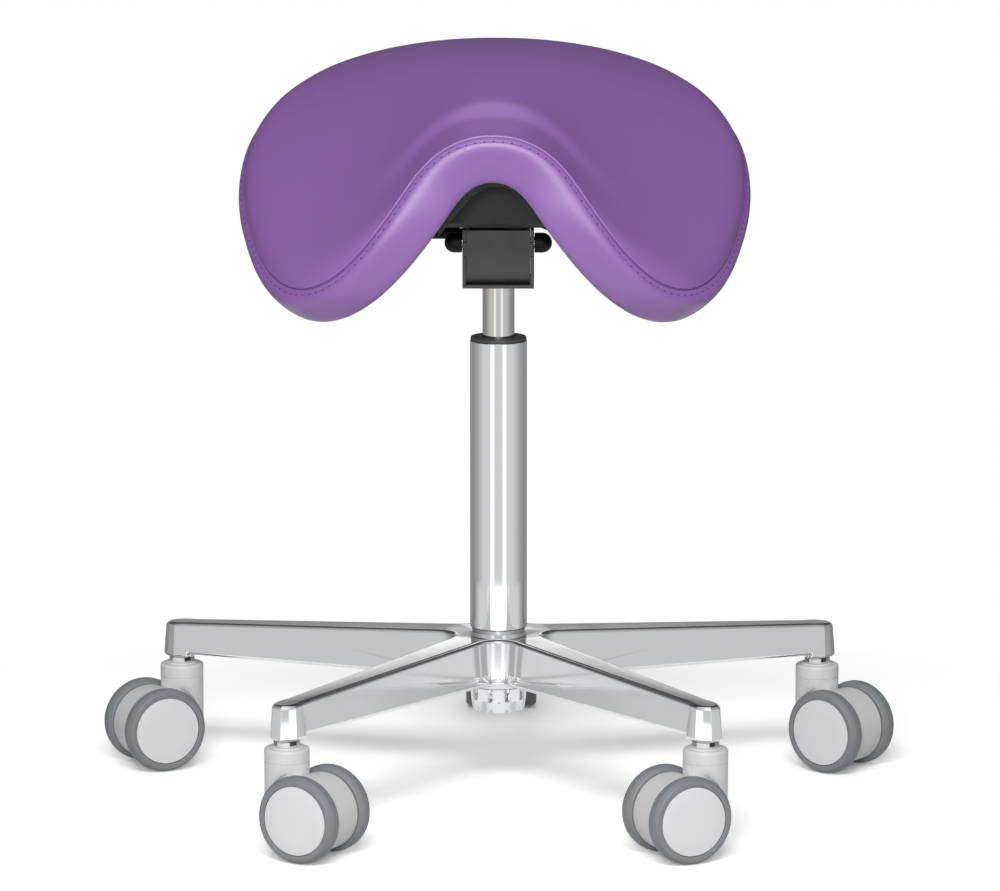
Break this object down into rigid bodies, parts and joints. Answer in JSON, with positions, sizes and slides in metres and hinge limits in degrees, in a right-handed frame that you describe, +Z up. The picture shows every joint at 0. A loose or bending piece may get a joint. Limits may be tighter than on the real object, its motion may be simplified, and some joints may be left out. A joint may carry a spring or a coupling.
{
  "type": "medical saddle stool",
  "caption": "Height-adjustable saddle stool: padded tilting saddle seat on a gas-sprung swivel column over a star base with twin-wheel castors.",
  "frame": {"origin": "on the floor, in the middle of the stool's bounding box; the column's axis stands about 31 mm in front of it", "axes": "+Z up; the sitter faces -Y; +X is on the right of someone who faces the sitter"},
  "size_m": [0.7096, 0.6652, 0.6529],
  "materials": {
    "cast_aluminium": "polished cast aluminium",
    "polished_column": "polished tube",
    "gas_spring_steel": "satin ground steel",
    "plain_steel": "bright zinc-plated steel",
    "black_plastic": "moulded, slightly shiny",
    "lever_grip": "moulded, smooth",
    "black_steel": "dark powder coat, fine texture",
    "castor_housing": "moulded light grey",
    "wheel_core": "moulded light grey",
    "tyre": "soft grey tread",
    "seat_leather": "grained artificial leather, stitched"
  },
  "bodies": {
    "base": {"star_base": "cast_aluminium", "hub_collar": "cast_aluminium", "column_tube": "polished_column", "guide_bush": "black_plastic", "thrust_bearing": "plain_steel", "castor_rear_stem": "plain_steel", "castor_side_left_stem": "plain_steel", "castor_front_left_stem": "plain_steel", "castor_front_right_stem": "plain_steel", "castor_side_right_stem": "plain_steel"},
    "spindle": {"piston_rod": "gas_spring_steel", "retaining_clip": "plain_steel", "buffer_ring": "black_plastic"},
    "lift": {"gas_cylinder": "gas_spring_steel", "rod_guide": "black_plastic", "taper_socket": "black_steel", "mechanism_box": "black_steel", "front_plate": "black_steel", "rear_plate": "black_steel", "pivot_shaft": "plain_steel", "pivot_cap_left": "black_plastic", "pivot_cap_right": "black_plastic"},
    "seat": {"tilt_bracket": "black_steel", "seat_block": "black_plastic", "seat_pan": "black_plastic", "seat_cushion": "seat_leather"},
    "height_handle": {"height_lever": "lever_grip"},
    "tilt_handle": {"tilt_lever": "black_steel"},
    "valve": {"valve_pin": "plain_steel"},
    "castor_rear": {"castor_rear_housing": "castor_housing", "castor_rear_axle": "plain_steel"},
    "wheel_rear_a": {"castor_rear_core_a": "wheel_core", "castor_rear_tyre_a": "tyre"},
    "wheel_rear_b": {"castor_rear_core_b": "wheel_core", "castor_rear_tyre_b": "tyre"},
    "castor_side_left": {"castor_side_left_housing": "castor_housing", "castor_side_left_axle": "plain_steel"},
    "wheel_side_left_a": {"castor_side_left_core_a": "wheel_core", "castor_side_left_tyre_a": "tyre"},
    "wheel_side_left_b": {"castor_side_left_core_b": "wheel_core", "castor_side_left_tyre_b": "tyre"},
    "castor_front_left": {"castor_front_left_housing": "castor_housing", "castor_front_left_axle": "plain_steel"},
    "wheel_front_left_a": {"castor_front_left_core_a": "wheel_core", "castor_front_left_tyre_a": "tyre"},
    "wheel_front_left_b": {"castor_front_left_core_b": "wheel_core", "castor_front_left_tyre_b": "tyre"},
    "castor_front_right": {"castor_front_right_housing": "castor_housing", "castor_front_right_axle": "plain_steel"},
    "wheel_front_right_a": {"castor_front_right_core_a": "wheel_core", "castor_front_right_tyre_a": "tyre"},
    "wheel_front_right_b": {"castor_front_right_core_b": "wheel_core", "castor_front_right_tyre_b": "tyre"},
    "castor_side_right": {"castor_side_right_housing": "castor_housing", "castor_side_right_axle": "plain_steel"},
    "wheel_side_right_a": {"castor_side_right_core_a": "wheel_core", "castor_side_right_tyre_a": "tyre"},
    "wheel_side_right_b": {"castor_side_right_core_b": "wheel_core", "castor_side_right_tyre_b": "tyre"}
  },
  "joints": [
    {"name": "seat_swivel", "type": "hinge", "parent": "base", "child": "spindle", "pos_m": [0, -0.0308, 0.08], "axis": [0, 0, 1], "continuous": true},
    {"name": "height_slide", "type": "slide", "parent": "spindle", "child": "lift", "axis": [0, 0, 1], "range_m": [-0.045, 0.085]},
    {"name": "seat_tilt", "type": "hinge", "parent": "lift", "child": "seat", "pos_m": [0, -0.0568, 0.49], "axis": [1, 0, 0], "range_deg": [-8, 10]},
    {"name": "height_lever_rock", "type": "hinge", "parent": "lift", "child": "height_handle", "pos_m": [-0.0295, -0.0308, 0.495], "axis": [0, -1, 0], "range_deg": [-5, 0], "stiffness_Nm_per_rad": 2, "springref_deg": 2.86},
    {"name": "tilt_lever_rock", "type": "hinge", "parent": "lift", "child": "tilt_handle", "pos_m": [0.0295, -0.0308, 0.502], "axis": [0, -1, 0], "range_deg": [0, 8], "stiffness_Nm_per_rad": 1, "springref_deg": -2.86},
    {"name": "valve_press", "type": "slide", "parent": "lift", "child": "valve", "axis": [0, 0, -1], "range_m": [0, 0.0026]},
    {"name": "castor_rear_swivel", "type": "hinge", "parent": "base", "child": "castor_rear", "pos_m": [0, 0.2692, 0.09], "axis": [0, 0, 1], "continuous": true},
    {"name": "castor_rear_spin_a", "type": "hinge", "parent": "castor_rear", "child": "wheel_rear_a", "pos_m": [-0.025, 0.2962, 0.0375], "axis": [1, 0, 0], "continuous": true},
    {"name": "castor_rear_spin_b", "type": "hinge", "parent": "castor_rear", "child": "wheel_rear_b", "pos_m": [0.025, 0.2962, 0.0375], "axis": [1, 0, 0], "continuous": true},
    {"name": "castor_side_left_swivel", "type": "hinge", "parent": "base", "child": "castor_side_left", "pos_m": [-0.28532, 0.06191, 0.09], "axis": [0, 0, 1], "continuous": true},
    {"name": "castor_side_left_spin_a", "type": "hinge", "parent": "castor_side_left", "child": "wheel_side_left_a", "pos_m": [-0.29898, 0.02774, 0.0375], "axis": [-0.4289, 0.9033, 0], "continuous": true},
    {"name": "castor_side_left_spin_b", "type": "hinge", "parent": "castor_side_left", "child": "wheel_side_left_b", "pos_m": [-0.32043, 0.07291, 0.0375], "axis": [-0.4289, 0.9033, 0], "continuous": true},
    {"name": "castor_front_left_swivel", "type": "hinge", "parent": "base", "child": "castor_front_left", "pos_m": [-0.17634, -0.2735, 0.09], "axis": [0, 0, 1], "continuous": true},
    {"name": "castor_front_left_spin_a", "type": "hinge", "parent": "castor_front_left", "child": "wheel_front_left_a", "pos_m": [-0.14054, -0.26498, 0.0375], "axis": [-0.4909, -0.8712, 0], "continuous": true},
    {"name": "castor_front_left_spin_b", "type": "hinge", "parent": "castor_front_left", "child": "wheel_front_left_b", "pos_m": [-0.16509, -0.30854, 0.0375], "axis": [-0.4909, -0.8712, 0], "continuous": true},
    {"name": "castor_front_right_swivel", "type": "hinge", "parent": "base", "child": "castor_front_right", "pos_m": [0.17634, -0.2735, 0.09], "axis": [0, 0, 1], "continuous": true},
    {"name": "castor_front_right_spin_a", "type": "hinge", "parent": "castor_front_right", "child": "wheel_front_right_a", "pos_m": [0.16291, -0.30776, 0.0375], "axis": [-0.4352, 0.9003, 0], "continuous": true},
    {"name": "castor_front_right_spin_b", "type": "hinge", "parent": "castor_front_right", "child": "wheel_front_right_b", "pos_m": [0.14115, -0.26275, 0.0375], "axis": [-0.4352, 0.9003, 0], "continuous": true},
    {"name": "castor_side_right_swivel", "type": "hinge", "parent": "base", "child": "castor_side_right", "pos_m": [0.28532, 0.06191, 0.09], "axis": [0, 0, 1], "continuous": true},
    {"name": "castor_side_right_spin_a", "type": "hinge", "parent": "castor_side_right", "child": "wheel_side_right_a", "pos_m": [0.32197, 0.06511, 0.0375], "axis": [-0.6129, -0.7902, 0], "continuous": true},
    {"name": "castor_side_right_spin_b", "type": "hinge", "parent": "castor_side_right", "child": "wheel_side_right_b", "pos_m": [0.29133, 0.0256, 0.0375], "axis": [-0.6129, -0.7902, 0], "continuous": true}
  ],
  "couplings": [
    {"joint": "valve_press", "follows": "height_lever_rock", "m_per_rad": -0.0295}
  ]
}
